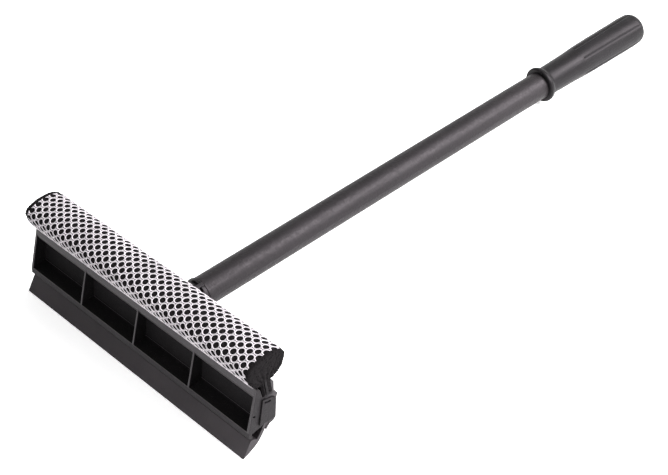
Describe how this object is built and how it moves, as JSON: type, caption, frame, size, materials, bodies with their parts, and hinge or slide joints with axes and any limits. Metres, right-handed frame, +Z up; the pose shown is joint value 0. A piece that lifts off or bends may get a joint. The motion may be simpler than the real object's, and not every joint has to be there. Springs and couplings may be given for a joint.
{
  "type": "window cleaning squeegee",
  "caption": "Hand squeegee: a netted sponge and a rubber blade clamped in a two-piece plastic head on a straight tube handle with a fluted grip.",
  "frame": {"origin": "middle of the bounding box at bench level, as the squeegee lies on its blade edge and the end of its grip", "axes": "+X along the head, +Y from the head towards the grip, +Z up, from the blade towards the sponge"},
  "size_m": [0.2564, 0.5362, 0.0711],
  "materials": {
    "moulded_black": "satin black moulded polypropylene with a fine moulded texture",
    "tube_black": "extruded black plastic tube with a soft satin sheen",
    "grip_black": "black moulded grip, slightly softer sheen",
    "blade_rubber": "smooth black rubber, faint bloom",
    "foam_grey": "dark grey open-cell foam",
    "net_white": "white knotted synthetic mesh with rounded cells",
    "strip_plastic": "dark grey plastic strip",
    "ring_black": "black rubbery collar ring",
    "screw_steel": "zinc plated steel screws"
  },
  "bodies": {
    "head": {"front_frame": "moulded_black", "rear_frame": "moulded_black", "sponge_foam": "foam_grey", "sponge_strip": "strip_plastic", "net_cover": "net_white", "neck_ring": "ring_black", "handle_tube": "tube_black", "grip": "grip_black", "clamp_screws": "screw_steel", "lock_screw": "screw_steel"},
    "blade": {"rubber_blade": "blade_rubber"},
    "plug_right": {"end_plug_right": "moulded_black"},
    "plug_left": {"end_plug_left": "moulded_black"}
  },
  "joints": [
    {"name": "blade_slide", "type": "slide", "parent": "head", "child": "blade", "axis": [1, 0, 0], "range_m": [0, 0.24]},
    {"name": "plug_right_pull", "type": "slide", "parent": "head", "child": "plug_right", "axis": [1, 0, 0], "range_m": [0, 0.0065]},
    {"name": "plug_left_pull", "type": "slide", "parent": "head", "child": "plug_left", "axis": [-1, 0, 0], "range_m": [0, 0.0065]}
  ]
}
